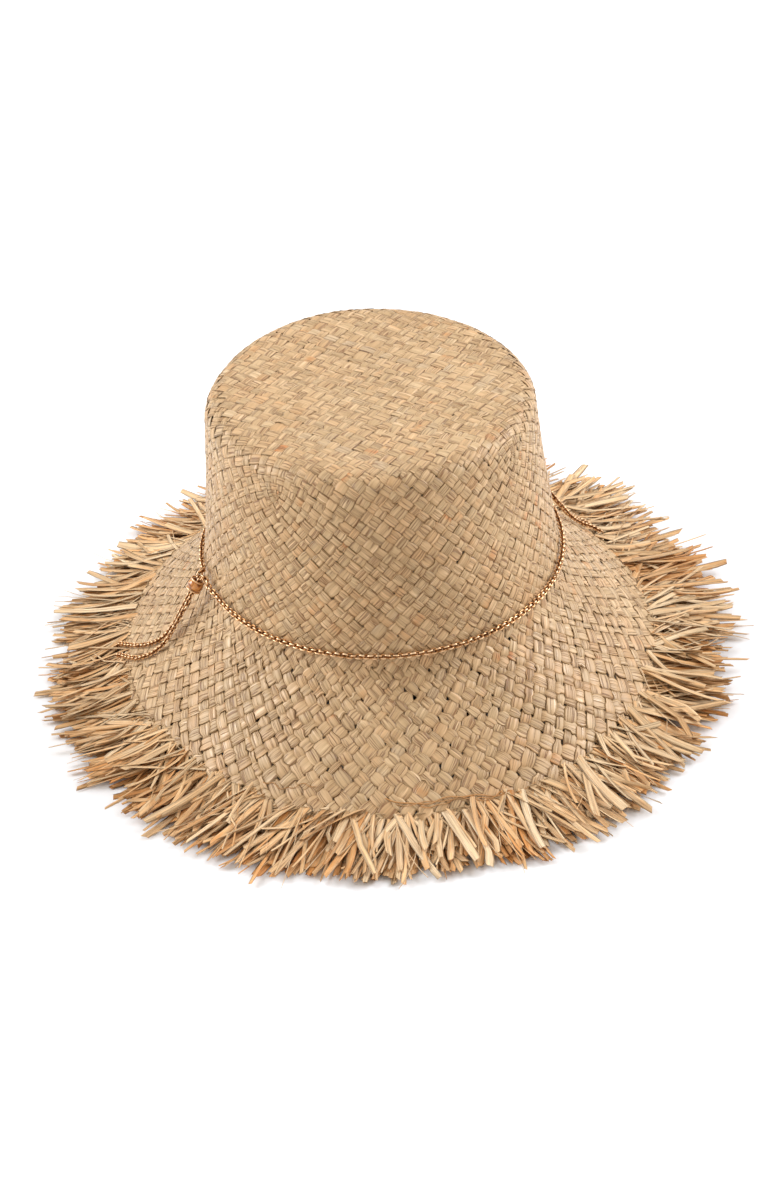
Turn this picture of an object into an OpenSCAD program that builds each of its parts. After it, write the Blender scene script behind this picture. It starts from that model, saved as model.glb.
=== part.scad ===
// Straw sun hat: plaited crown and bell brim, frayed fringe, chain round the crown,
// and a double chin chain gathered by a sliding bead on each side.
// The front faces -Y, and the hat stands on its fringe at z = 0.

/* [Crown] */
// Inside width of the crown at its foot
head_w = 171; // [160:1:180]
// Inside length of the crown at its foot
head_l = 201; // [190:1:210]
// Height of the crown above its foot
crown_h = 90.5; // [80:0.5:100]
// Width of the crown where the rounded shoulder starts
top_w = 159; // [150:1:164]
// Length of the crown where the rounded shoulder starts
top_l = 180; // [172:1:188]
// Radius of the rounded shoulder
shoulder_r = 11; // [8:0.5:14]
// Thickness of the plaited straw
straw_t = 1.8; // [1.4:0.1:2]

/* [Brim] */
// Height of the crown's foot above the table
foot_z = 62; // [61:0.5:63]
// Width across the end of the weave
brim_w = 266; // [262:1:268]
// Length across the end of the weave
brim_l = 319; // [314:1:321]
// Height of the end of the weave above the table
brim_edge_z = 10; // [9:0.5:11]

/* [Fringe] */
// Width across the tips of the fringe
fringe_w = 352; // [330:1:370]
// Length across the tips of the fringe
fringe_l = 411; // [395:1:430]
// Thickness of the fringe at its tips
fringe_t = 4.5; // [3:0.5:6]

/* [Chain and beads] */
// Width of the chain over its links
chain_d = 2.6; // [2.2:0.1:2.7]
// Outer diameter of a slider bead
bead_d = 7.8; // [7.2:0.1:8.2]
// Length of a slider bead
bead_l = 4.4; // [3.6:0.1:4.8]
// Bore of a slider bead, which two chain strands share
bead_bore = 5.7; // [5.6:0.05:5.8]
// Thickness of the metal ring at each end of a bead
ring_t = 0.9; // [0.6:0.05:0.9]

/* [Sweatband] */
// Height of the sweatband
band_h = 28; // [20:1:32]
// Thickness of the sweatband
band_t = 1; // [0.8:0.1:1.2]

/* [Hidden] */

STRAW = [0.84, 0.73, 0.57];
STRAW_TIP = [0.86, 0.76, 0.6];
RAW_STRAW = [0.8, 0.65, 0.46];
THREAD = [0.9, 0.82, 0.68];
ROSE_BRASS = [0.78, 0.55, 0.36];
CARAMEL = [0.66, 0.4, 0.18];
BAND = [0.9, 0.86, 0.78];

around = 96;
shoulder_steps = 6;
gap = 0.3;
chain_r = chain_d / 2;

foot_a = head_w / 2 + straw_t;
foot_b = head_l / 2 + straw_t;
top_a = top_w / 2;
top_b = top_l / 2;
top_z = foot_z + crown_h;
shoulder_z = top_z - shoulder_r;
edge_a = brim_w / 2;
edge_b = brim_l / 2;

// The brim leaves the crown steeply and flares to an even slope within the first 14 mm.
flare = [[1.3, 4.5], [3.7, 9], [7.2, 13.5]];

// Heights of the sweatband and of what is sewn to it.
band_z = foot_z + 1;
band_stitch_z = band_z + 3;
label_z = band_z + 7;
label_h = 16;

// Chin chain: each strand runs from the crown's foot through the left bead, down the brim,
// through the fringe, under the hat and back up to the right bead.
left_axis = [[-91.9, -9.4, 66.8], [-107.5, -10.5, 42]];
right_axis = [[85.5, 39.9, 66.8], [100.3, 45, 42]];
bead_start = 0.4;
front_strand = [
    [-91.8, -10.8, 66.8], [-99.6, -11.35, 54.4], [-107.4, -11.9, 42], [-112.6, -11, 34],
    [-118.5, -7, 26.8], [-124.5, -0.5, 20.8], [-129.3, 7.5, 16.6], [-132.4, 14.5, 14],
    [-134.6, 20.2, 11.4], [-135.6, 24.4, 7.6], [-133.9, 27.4, 3.4], [-129.4, 29, 1.4],
    [-119, 28, 1.4], [-110, 19, 1.4], [-105, 3, 1.4], [-101, -15, 1.4], [-92, -37, 1.4],
    [-78, -58, 1.4], [-59, -75, 1.4], [-36, -87, 1.4], [-11, -93, 1.4], [15, -92, 1.4],
    [40, -84, 1.4], [62, -70, 1.4], [80, -52, 1.4], [92, -30, 1.4], [98.5, -6, 1.4],
    [101.5, 18, 1.4], [104, 38, 1.4], [109.5, 53, 1.4], [119.3, 61.2, 1.4], [123.9, 63.3, 3.2],
    [125.7, 63.9, 7.6], [124, 63.2, 12], [120.6, 61.7, 15.8],
    [115.5, 58.5, 20.6], [110.5, 54.5, 25.9], [106, 49.2, 32.6], [100.8, 43.7, 42],
    [93.4, 41.15, 54.4], [86, 38.6, 66.8]];
back_strand = [
    [-92, -8, 66.8], [-99.8, -8.55, 54.4], [-107.6, -9.1, 42], [-112.4, -6.4, 34.5],
    [-117.5, 0, 28], [-122.8, 8, 22.4], [-127.3, 16.5, 18], [-130.6, 23.5, 14.8],
    [-133.2, 29.2, 11.6], [-134.4, 33.2, 7.6], [-132.8, 36.2, 3.4], [-128.3, 37.8, 1.4],
    [-117, 37.4, 1.4], [-105, 28, 1.4], [-97, 13, 1.4], [-91, -6, 1.4], [-82, -26, 1.4],
    [-68, -44, 1.4], [-50, -58, 1.4], [-29, -67, 1.4], [-6, -71, 1.4], [17, -69, 1.4],
    [39, -61, 1.4], [58, -48, 1.4], [73, -31, 1.4], [83, -11, 1.4], [89, 13, 1.4],
    [92.5, 33, 1.4], [97, 50, 1.4], [104.5, 62, 1.4], [115.6, 68.8, 1.4], [120.2, 70.7, 3.2],
    [122, 71.4, 7.6], [120.4, 70.7, 12], [117.3, 68.9, 15.9],
    [113, 65.7, 20.4], [108.5, 60.8, 25.8], [104.2, 53.8, 33], [99.8, 46.3, 42],
    [92.4, 43.75, 54.4], [85, 41.2, 66.8]];

// The crown chain's ends, from its ring round the crown to where each strand meets its bead.
front_left_end = [[-91.8, -10.8, 66.8], [-91.27, -10.76, 67.65], [-90.6, -11.6, 68.6],
    [-89.6, -13.6, 68.2], [-88.9, -16, 66.8], [-88.3, -18.5, 65.3]];
front_right_end = [[84.9, 31, 65.3], [85.1, 33.6, 66.8], [85.4, 36.1, 68.2],
    [85.3, 37.6, 68.7], [85.5, 38.43, 67.65], [86, 38.6, 66.8]];
back_left_end = [[-92, -8, 66.8], [-91.47, -7.96, 67.65], [-90.9, -7.1, 68.6],
    [-89.9, -5.1, 68.2], [-89.3, -2.6, 66.8], [-88.9, 0, 65.3]];
back_right_end = [[79.2, 47.6, 65.3], [80.6, 45.6, 66.8], [82.3, 43.1, 68.2],
    [83.6, 41.6, 68.7], [84.5, 41.03, 67.65], [85, 41.2, 66.8]];
chain_ring_z = 64.6;
front_ring = [193, 375];
back_ring = [176, 29];
chain_ring_steps = 26;

// The fringe is open where the chin chain passes through it, near each side.
fringe_front_arc = [174.5, 380.5];
fringe_back_arc = [28.5, 165.3];

function mix(a, b, k) = a + (b - a) * k;

function unit(v) = v / norm(v);

function on_oval(a, b, z, t) = [a * cos(t), b * sin(t), z];

// Half-width and half-length of the crown's outer face at height z.
function crown_a(z) = mix(foot_a, top_a, (z - foot_z) / (shoulder_z - foot_z));
function crown_b(z) = mix(foot_b, top_b, (z - foot_z) / (shoulder_z - foot_z));

// Sections are lists of [half-width, half-length, height].
function crown_section(inset, from_z, to_z) =
    [for (z = [from_z, to_z]) [crown_a(z) - inset, crown_b(z) - inset, z]];

function shoulder_section(inset) =
    [for (i = [0 : shoulder_steps])
        let (q = 90 * i / shoulder_steps, r = shoulder_r - inset)
        [top_a - shoulder_r + r * cos(q), top_b - shoulder_r + r * cos(q),
            shoulder_z + r * sin(q)]];

function reversed(list) = [for (i = [len(list) - 1 : -1 : 0]) list[i]];

// Sweeps a closed section round the oval, from angle t0 to t1.
module oval_shell(section, t0 = 0, t1 = 360, n = around)
{
    m = len(section);
    closed = t1 - t0 >= 360;
    columns = closed ? n : n + 1;
    points = [for (i = [0 : columns - 1], p = section)
        on_oval(p[0], p[1], p[2], t0 + (t1 - t0) * i / n)];
    sides = [for (i = [0 : n - 1], j = [0 : m - 1])
        let (here = i * m, next = (i + 1) % columns * m, k = (j + 1) % m)
        each [[here + j, here + k, next + j], [here + k, next + k, next + j]]];
    ends = closed ? [] : [[for (j = [m - 1 : -1 : 0]) j], [for (j = [0 : m - 1]) n * m + j]];
    polyhedron(points, concat(sides, ends), convexity = 6);
}

// Sweeps a round section along a route, turning it as little as possible on the way.
module tube(route, r, sides = 8)
{
    last = len(route) - 1;
    way = [for (i = [0 : last]) unit(route[min(i + 1, last)] - route[max(i - 1, 0)])];
    first_side = unit(cross(way[0], [0.1, 0.2, 1]));
    out = [for (i = 0, u = first_side; i <= last;
        u = i < last ? unit(u - way[i + 1] * (u * way[i + 1])) : u, i = i + 1) u];
    points = [for (i = [0 : last], k = [0 : sides - 1])
        let (a = 360 * k / sides)
        route[i] + r * (cos(a) * out[i] + sin(a) * cross(way[i], out[i]))];
    walls = [for (i = [0 : last - 1], k = [0 : sides - 1])
        let (here = i * sides, next = here + sides, q = (k + 1) % sides)
        each [[here + k, next + k, here + q], [here + q, next + k, next + q]]];
    caps = [[for (k = [0 : sides - 1]) k], [for (k = [sides - 1 : -1 : 0]) last * sides + k]];
    polyhedron(points, concat(walls, caps), convexity = 8);
}

// Stands its children on a point, with their Z along a direction.
module aim(at, along)
{
    translate(at)
        rotate([0, acos(along[2] / norm(along)), atan2(along[1], along[0])])
            children();
}

// A row of short straight stitches along an oval.
module stitches(a, b, z, count, length, r)
{
    for (i = [0 : count - 1])
    {
        t = 360 * (i + 0.5) / count;
        aim(on_oval(a, b, z, t), [-a * sin(t), b * cos(t), 0])
            cylinder(r = r, h = length, center = true, $fn = 24);
    }
}

module crown_tip()
{
    color(STRAW_TIP)
        translate([0, 0, top_z - straw_t])
            linear_extrude(straw_t)
                polygon([for (i = [0 : around - 1])
                    let (t = 360 * i / around)
                    [(top_a - shoulder_r) * cos(t), (top_b - shoulder_r) * sin(t)]]);
}

module crown_side()
{
    outside = concat([[foot_a, foot_b, foot_z]], shoulder_section(0));
    inside = concat([[foot_a - straw_t, foot_b - straw_t, foot_z]], shoulder_section(straw_t));
    color(STRAW)
        oval_shell(concat(outside, reversed(inside)));
}

module brim()
{
    slope = straw_t * 0.7;
    top = [for (p = flare) [foot_a + p[0], foot_b + p[0], foot_z - p[1]]];
    under = [for (p = top) [p[0] - slope, p[1] - slope, p[2] - slope]];
    color(STRAW)
        oval_shell(concat(
            [[foot_a - straw_t, foot_b - straw_t, foot_z]],
            under,
            [[edge_a - slope, edge_b - slope, brim_edge_z - slope],
                [edge_a, edge_b, brim_edge_z]],
            reversed(top),
            [[foot_a, foot_b, foot_z]]));
}

module fringe(arc)
{
    root_a = edge_a + gap + 0.1;
    root_b = edge_b + gap + 0.1;
    tip_a = fringe_w / 2;
    tip_b = fringe_l / 2;
    color(RAW_STRAW)
        oval_shell([
            [root_a, root_b, brim_edge_z - 5],
            [mix(root_a, tip_a, 0.2), mix(root_b, tip_b, 0.2), 0],
            [tip_a, tip_b, 0],
            [tip_a, tip_b, fringe_t],
            [mix(root_a, tip_a, 0.4), mix(root_b, tip_b, 0.4), brim_edge_z - 1],
            [root_a, root_b, brim_edge_z + 0.5]], arc[0], arc[1], around / 2);
}

module fringe_front()
{
    fringe(fringe_front_arc);
}

module fringe_back()
{
    fringe(fringe_back_arc);
}

// One row of thread just inside the end of the weave.
module edge_stitching()
{
    inset = 2.5;
    lift = 0.4;
    color(THREAD)
        stitches(edge_a - inset + lift, edge_b - inset + lift, brim_edge_z + inset + lift,
            90, 5, 0.4);
}

module sweatband()
{
    outside = crown_section(straw_t + gap, band_z, band_z + band_h);
    inside = crown_section(straw_t + gap + band_t, band_z, band_z + band_h);
    color(BAND)
        oval_shell(concat(outside, reversed(inside)));
}

module sweatband_stitching()
{
    inset = straw_t + gap + band_t + 0.4;
    color(THREAD)
        stitches(crown_a(band_stitch_z) - inset, crown_b(band_stitch_z) - inset, band_stitch_z,
            84, 3.5, 0.3);
}

// A small flat bow over the sweatband's join, at the back.
module sweatband_bow()
{
    bow_y = crown_b(band_z + band_h) - straw_t - gap - band_t - 1.8;
    bow_z = band_z + 17;
    color(BAND)
        translate([0, bow_y, bow_z])
            rotate([90, 0, 0])
            {
                cylinder(r = 2, h = 1.6, $fn = 32);
                for (side = [-1, 1])
                {
                    hull()
                    {
                        translate([side * 2.9, 0, 0.2])
                            cylinder(r = 0.8, h = 1, $fn = 24);
                        translate([side * 8.5, 0.8, 0.2])
                            cylinder(r = 2.6, h = 1, $fn = 32);
                    }
                    hull()
                    {
                        translate([side * 1.4, -2.9, 0.2])
                            cylinder(r = 0.7, h = 0.8, $fn = 24);
                        translate([side * 4.6, -8.5, 0.2])
                            cylinder(r = 1.2, h = 0.8, $fn = 24);
                    }
                }
            }
}

// A blank woven label, sewn flat to the sweatband.
module size_label()
{
    inset = straw_t + gap + band_t + 0.1;
    outside = crown_section(inset, label_z, label_z + label_h);
    inside = crown_section(inset + 0.5, label_z, label_z + label_h);
    color(THREAD)
        oval_shell(concat(outside, reversed(inside)), 44, 62, 8);
}

function ring_points(arc) =
    [for (i = [0 : chain_ring_steps])
        let (t = mix(arc[0], arc[1], i / chain_ring_steps), z = chain_ring_z)
        on_oval(crown_a(z) + gap + chain_r, crown_b(z) + gap + chain_r, z, t)];

module crown_chain_front()
{
    color(ROSE_BRASS)
        tube(concat(front_left_end, ring_points(front_ring), front_right_end), chain_r);
}

module crown_chain_back()
{
    color(ROSE_BRASS)
        tube(concat(back_left_end, ring_points(back_ring), back_right_end), chain_r);
}

// Thread loops round the crown chain, open towards the straw that they are sewn to.
module chain_tacks()
{
    thread_r = 0.3;
    loop_r = chain_r + 0.15 + thread_r;
    open_angle = 100;
    a = crown_a(chain_ring_z) + gap + chain_r;
    b = crown_b(chain_ring_z) + gap + chain_r;
    color(THREAD)
        for (t = [222, 257, 292, 327, 70, 105, 140])
            translate(on_oval(a, b, chain_ring_z, t))
                rotate([0, 0, atan2(sin(t) / b, cos(t) / a)])
                    rotate([90, 0, 0])
                        rotate([0, 0, -180 + open_angle / 2])
                            rotate_extrude(angle = 360 - open_angle, $fn = 48)
                                translate([loop_r, 0])
                                    circle(r = thread_r, $fn = 16);
}

module bead(axis)
{
    along = unit(axis[1] - axis[0]);
    centre = bead_start + 2 * ring_t + bead_l / 2;
    color(CARAMEL)
        aim(axis[0] + along * centre, along)
            difference()
            {
                intersection()
                {
                    sphere(d = bead_d, $fn = 64);
                    cylinder(d = bead_d + 1, h = bead_l, center = true, $fn = 64);
                }
                cylinder(d = bead_bore, h = bead_l + 1, center = true, $fn = 64);
            }
}

// The metal rings that finish a bead's two ends.
module bead_rings(axis)
{
    along = unit(axis[1] - axis[0]);
    centre = bead_start + 2 * ring_t + bead_l / 2;
    color(ROSE_BRASS)
        aim(axis[0] + along * centre, along)
            for (side = [-1, 1])
                translate([0, 0, side * (bead_l + ring_t + 0.1) / 2])
                    rotate_extrude($fn = 64)
                        translate([bead_bore / 2 + ring_t / 2, 0])
                            circle(d = ring_t, $fn = 24);
}

module bead_left()
{
    bead(left_axis);
}

module bead_right()
{
    bead(right_axis);
}

module bead_left_rings()
{
    bead_rings(left_axis);
}

module bead_right_rings()
{
    bead_rings(right_axis);
}

module chin_chain_front()
{
    color(ROSE_BRASS)
        tube(front_strand, chain_r);
}

module chin_chain_back()
{
    color(ROSE_BRASS)
        tube(back_strand, chain_r);
}

crown_tip();
crown_side();
brim();
fringe_front();
fringe_back();
edge_stitching();
sweatband();
sweatband_stitching();
sweatband_bow();
size_label();
crown_chain_front();
crown_chain_back();
chain_tacks();
bead_left();
bead_right();
bead_left_rings();
bead_right_rings();
chin_chain_front();
chin_chain_back();
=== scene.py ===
import math
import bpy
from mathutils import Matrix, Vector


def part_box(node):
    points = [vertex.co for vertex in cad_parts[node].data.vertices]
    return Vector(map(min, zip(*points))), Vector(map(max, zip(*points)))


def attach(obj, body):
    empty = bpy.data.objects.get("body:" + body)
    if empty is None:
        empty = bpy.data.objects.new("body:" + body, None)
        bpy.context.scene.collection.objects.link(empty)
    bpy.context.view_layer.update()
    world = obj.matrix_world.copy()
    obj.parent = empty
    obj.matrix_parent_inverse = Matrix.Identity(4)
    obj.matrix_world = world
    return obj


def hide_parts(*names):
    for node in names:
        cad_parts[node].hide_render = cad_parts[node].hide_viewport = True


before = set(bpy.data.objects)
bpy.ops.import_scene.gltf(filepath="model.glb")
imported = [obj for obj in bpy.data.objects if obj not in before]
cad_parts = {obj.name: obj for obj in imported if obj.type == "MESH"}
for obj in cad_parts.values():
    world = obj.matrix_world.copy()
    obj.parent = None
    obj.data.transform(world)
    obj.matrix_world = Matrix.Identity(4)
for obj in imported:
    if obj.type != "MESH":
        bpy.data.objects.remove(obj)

from types import SimpleNamespace as Kind

import bpy
import numpy as np
from mathutils import Matrix, Vector

MM = 0.001
TAU = 2 * np.pi
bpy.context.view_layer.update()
scene = bpy.context.scene


def mixed(a, b, k):
    return a + (b - a) * k


def smoothstep(x):
    x = np.clip(x, 0.0, 1.0)
    return x * x * (3.0 - 2.0 * x)


# ---------------------------------------------------------------- camera
AZIMUTH, ELEVATION, ROLL = math.radians(-8.0), math.radians(32.1), math.radians(-4.7)
LENS, SENSOR = 108.9, 36.0  # millimetres
CAMERA_DISTANCE, TARGET_RIGHT, TARGET_UP = 1.8, 0.002, 0.0322  # metres


def add_camera():
    right = Vector((math.cos(AZIMUTH), math.sin(AZIMUTH), 0.0))
    back = Vector(
        (
            math.sin(AZIMUTH) * math.cos(ELEVATION),
            -math.cos(AZIMUTH) * math.cos(ELEVATION),
            math.sin(ELEVATION),
        )
    )
    up = back.cross(right)
    across = right * math.cos(ROLL) + up * math.sin(ROLL)
    upward = up * math.cos(ROLL) - right * math.sin(ROLL)
    target = right * TARGET_RIGHT + Vector((0.0, 0.0, TARGET_UP))
    data = bpy.data.cameras.new("camera")
    data.lens, data.sensor_width, data.sensor_fit = LENS, SENSOR, "AUTO"
    data.clip_start, data.clip_end = 0.05, 20.0
    cam = bpy.data.objects.new("camera", data)
    scene.collection.objects.link(cam)
    place = [list(row) for row in zip(across, upward, back, target + back * CAMERA_DISTANCE)]
    cam.matrix_world = Matrix([*place, [0, 0, 0, 1]])
    scene.camera = cam


add_camera()


# ---------------------------------------------------------------- meshes
def linked(name, mesh, material, body="hat"):
    obj = bpy.data.objects.new(name, mesh)
    scene.collection.objects.link(obj)
    mesh.materials.append(material)
    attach(obj, body)
    return obj


def mesh_of(name, points, quads, uv=None, tone=None):
    """A mesh of quads; points are in millimetres, uv and tone are given point by point."""
    mesh = bpy.data.meshes.new(name)
    mesh.vertices.add(len(points))
    mesh.vertices.foreach_set("co", np.ascontiguousarray(points, np.float32).ravel() * MM)
    mesh.loops.add(quads.size)
    mesh.loops.foreach_set("vertex_index", np.ascontiguousarray(quads, np.int32).ravel())
    mesh.polygons.add(len(quads))
    mesh.polygons.foreach_set("loop_start", np.arange(0, quads.size, 4, dtype=np.int32))
    mesh.polygons.foreach_set("use_smooth", np.full(len(quads), True))
    if uv is not None:
        layer = mesh.uv_layers.new(name="strand")
        layer.data.foreach_set("uv", np.ascontiguousarray(uv[quads.ravel()], np.float32).ravel())
    if tone is not None:
        colours = mesh.attributes.new("tone", "FLOAT_COLOR", "POINT")
        colours.data.foreach_set("color", np.ascontiguousarray(tone, np.float32).ravel())
    mesh.update(calc_edges=True)
    mesh.validate()
    return mesh


class Heap:
    """Collects the parts of one mesh."""

    def __init__(self):
        self.points, self.quads, self.uv, self.tone, self.n = [], [], [], [], 0

    def add(self, points, quads, uv=None, tone=None):
        uv = np.zeros((*points.shape[:-1], 2)) if uv is None else uv
        tone = np.full((*points.shape[:-1], 4), 0.5) if tone is None else tone
        self.points.append(points.reshape(-1, 3))
        self.quads.append(quads.reshape(-1, 4) + self.n)
        self.uv.append(uv.reshape(-1, 2))
        self.tone.append(tone.reshape(-1, 4))
        self.n += len(self.points[-1])

    def mesh(self, name):
        return mesh_of(
            name,
            np.concatenate(self.points),
            np.concatenate(self.quads),
            np.concatenate(self.uv),
            np.concatenate(self.tone),
        )


def tube_quads(rows, steps, sides):
    """Faces of many tubes, each of `steps` rings with `sides` points."""
    r = np.arange(rows)[:, None, None] * steps * sides
    j = np.arange(steps - 1)[None, :, None] * sides
    k = np.arange(sides)[None, None, :]
    n = (k + 1) % sides
    return np.stack([r + j + k, r + j + n, r + j + sides + n, r + j + sides + k], -1)


def ring_quads(rows, steps, sides):
    """Faces of many closed rings, each of `steps` sections with `sides` points."""
    r = np.arange(rows)[:, None, None] * steps * sides
    j = np.arange(steps)[None, :, None]
    k = np.arange(sides)[None, None, :]
    j2, k2 = (j + 1) % steps * sides, (k + 1) % sides
    j = j * sides
    return np.stack([r + j + k, r + j2 + k, r + j2 + k2, r + j + k2], -1).reshape(-1, 4)


def unit(v):
    return v / np.maximum(np.linalg.norm(v, axis=-1, keepdims=True), 1e-9)


def stacked(*parts):
    return np.stack(np.broadcast_arrays(*parts), -1)


def swept(centre, side, up, y, z):
    """The points of a section, y along side and z along up, at each place of centre."""
    return centre[..., None, :] + side[..., None, :] * y[..., None] + up[..., None, :] * z[..., None]


def powered(x, power):
    return np.sign(x) * np.abs(x) ** power


def step_lengths(line):
    return np.linalg.norm(np.diff(line, axis=0), axis=1)


def arc_length(line):
    """Distance along a line of points, from its first point."""
    return np.concatenate([[0], np.cumsum(step_lengths(line))])


def bell(reach, step, ease):
    """Weights that ease a line, over `reach` points on each side."""
    kernel = np.exp(-0.5 * (np.arange(-reach, reach + 1) * step / ease) ** 2)
    return kernel / kernel.sum()


# ---------------------------------------------------------------- chains
CHAIN = 2.6  # over the links
WIRE, LINK_LONG, LINK_WIDE, LINK_PITCH = 0.4, 2.5, 2.0, 1.74
LINK_STEPS, LINK_SIDES = 12, 6
ROUTE_STEP, ROUTE_REACH = 0.5, 12  # the route's fineness, and how many steps ease a bend


def smooth_route(points, lowest=None, ease=1.6):
    """A fine curve through the route's points, with its bends eased."""
    p = np.asarray(points, float)
    q = np.vstack([2 * p[0] - p[1], p, 2 * p[-1] - p[-2]])
    fine = []
    for a, b, c, d in zip(q, q[1:], q[2:], q[3:]):
        d0, d1, d2 = (max(np.linalg.norm(y - x), 1e-9) for x, y in ((a, b), (b, c), (c, d)))
        m1 = d1 * ((c - b) / d1 * d0 + (b - a) / d0 * d1) / (d0 + d1)
        m2 = d1 * ((d - c) / d2 * d1 + (c - b) / d1 * d2) / (d1 + d2)
        t = np.linspace(0, 1, 16, endpoint=False)[:, None]
        fine.append(
            (2 * t**3 - 3 * t**2 + 1) * b
            + (t**3 - 2 * t**2 + t) * m1
            + (3 * t**2 - 2 * t**3) * c
            + (t**3 - t**2) * m2
        )
    fine = np.vstack([*fine, p[-1:]])
    total = arc_length(fine)[-1]
    fine = along_route(fine, np.linspace(0, total, int(total / ROUTE_STEP) + 1))
    kernel = bell(ROUTE_REACH, ROUTE_STEP, ease)
    before = np.repeat(fine[:1] * 2, ROUTE_REACH, 0) - fine[ROUTE_REACH:0:-1]
    after = np.repeat(fine[-1:] * 2, ROUTE_REACH, 0) - fine[-2 : -ROUTE_REACH - 2 : -1]
    padded = np.vstack([before, fine, after])
    fine = np.stack([np.convolve(padded[:, k], kernel, "valid") for k in range(3)], 1)
    if lowest is not None:
        fine[:, 2] = np.maximum(fine[:, 2], lowest)
    return fine


def along_route(route, s):
    lengths = arc_length(route)
    return np.stack([np.interp(s, lengths, route[:, k]) for k in range(3)], 1)


def chain_mesh(name, route, seed, size=1.0):
    """Oval links, each turned a quarter turn from the one before."""
    rng = np.random.default_rng(seed)
    total = step_lengths(route).sum()
    wire, long_way, wide_way = WIRE * size, LINK_LONG * size, LINK_WIDE * size
    count = int(round(total / (LINK_PITCH * size)))
    pitch = total / count
    s = (np.arange(count) + 0.5) * pitch
    centre = along_route(route, s)
    tangent = unit(along_route(route, s + 0.7) - along_route(route, s - 0.7))
    side = np.zeros_like(tangent)
    v = unit(np.cross(tangent[0], [0.1, 0.2, 1.0]))
    for i, t in enumerate(tangent):
        v = unit(v - t * (v @ t))
        side[i] = v
    other = np.cross(tangent, side)
    roll = np.radians(45 + 90 * (np.arange(count) % 2) + rng.normal(0, 7, count))
    tilt = np.radians(rng.normal(0, 5, count))
    x = side * np.cos(roll)[:, None] + other * np.sin(roll)[:, None]
    n = np.cross(tangent, x)
    way = tangent * np.cos(tilt)[:, None] + n * np.sin(tilt)[:, None]
    n = np.cross(way, x)
    steps, sides = LINK_STEPS, LINK_SIDES
    u = TAU * np.arange(steps) / steps
    ring = np.stack(
        [powered(np.cos(u), 0.85) * long_way / 2, powered(np.sin(u), 0.85) * wide_way / 2], 1
    )
    after = np.roll(ring, -1, 0) - np.roll(ring, 1, 0)
    out = unit(np.stack([after[:, 1], -after[:, 0]], 1))
    w = TAU * np.arange(sides) / sides
    flat = ring[:, None, :] + out[:, None, :] * (np.cos(w) * wire)[None, :, None]
    high = np.broadcast_to(np.sin(w) * wire, (steps, sides))
    points = (
        centre[:, None, None, :]
        + way[:, None, None, :] * flat[None, :, :, 0, None]
        + x[:, None, None, :] * flat[None, :, :, 1, None]
        + n[:, None, None, :] * high[None, :, :, None]
    )
    tone = np.zeros((count, steps * sides, 4))
    # painted shade: the links are darker inside their holes and where they meet, and lighter on their outer
    # faces; the random part is each link's own tone
    reach = np.hypot(flat[..., 1], high) / (wide_way / 2 + wire)
    out_of_shade = smoothstep((reach.reshape(-1) - 0.45) / 0.5)
    tone[..., 0] = 0.25 * rng.random((count, 1)) + 0.75 * out_of_shade
    tone[..., 1] = 0.5
    tone[..., 3] = 1.0
    quads = ring_quads(count, steps, sides)
    return mesh_of(name, points.reshape(-1, 3), quads, None, tone.reshape(-1, 4))


FRONT_STRAND = [
    (-91.8, -10.8, 66.8), (-99.6, -11.35, 54.4), (-107.4, -11.9, 42), (-112.6, -11, 34),
    (-118.5, -7, 26.8), (-124.5, -0.5, 20.8), (-129.3, 7.5, 16.6), (-132.4, 14.5, 14),
    (-134.6, 20.2, 11.4), (-135.6, 24.4, 7.6), (-133.9, 27.4, 3.4), (-129.4, 29, 1.4),
    (-119, 28, 1.4), (-110, 19, 1.4), (-105, 3, 1.4), (-101, -15, 1.4), (-92, -37, 1.4),
    (-78, -58, 1.4), (-59, -75, 1.4), (-36, -87, 1.4), (-11, -93, 1.4), (15, -92, 1.4),
    (40, -84, 1.4), (62, -70, 1.4), (80, -52, 1.4), (92, -30, 1.4), (98.5, -6, 1.4),
    (101.5, 18, 1.4), (104, 38, 1.4), (109.5, 53, 1.4), (119.3, 61.2, 1.4), (123.9, 63.3, 3.2),
    (125.7, 63.9, 7.6), (124, 63.2, 12), (120.6, 61.7, 15.8), (115.5, 58.5, 20.6),
    (110.5, 54.5, 25.9), (106, 49.2, 32.6), (100.8, 43.7, 42), (93.4, 41.15, 54.4), (86, 38.6, 66.8),
]  # fmt: skip
BACK_STRAND = [
    (-92, -8, 66.8), (-99.8, -8.55, 54.4), (-107.6, -9.1, 42), (-112.4, -6.4, 34.5),
    (-117.5, 0, 28), (-122.8, 8, 22.4), (-127.3, 16.5, 18), (-130.6, 23.5, 14.8),
    (-133.2, 29.2, 11.6), (-134.4, 33.2, 7.6), (-132.8, 36.2, 3.4), (-128.3, 37.8, 1.4),
    (-117, 37.4, 1.4), (-105, 28, 1.4), (-97, 13, 1.4), (-91, -6, 1.4), (-82, -26, 1.4),
    (-68, -44, 1.4), (-50, -58, 1.4), (-29, -67, 1.4), (-6, -71, 1.4), (17, -69, 1.4),
    (39, -61, 1.4), (58, -48, 1.4), (73, -31, 1.4), (83, -11, 1.4), (89, 13, 1.4),
    (92.5, 33, 1.4), (97, 50, 1.4), (104.5, 62, 1.4), (115.6, 68.8, 1.4), (120.2, 70.7, 3.2),
    (122, 71.4, 7.6), (120.4, 70.7, 12), (117.3, 68.9, 15.9), (113, 65.7, 20.4),
    (108.5, 60.8, 25.8), (104.2, 53.8, 33), (99.8, 46.3, 42), (92.4, 43.75, 54.4), (85, 41.2, 66.8),
]  # fmt: skip


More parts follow.
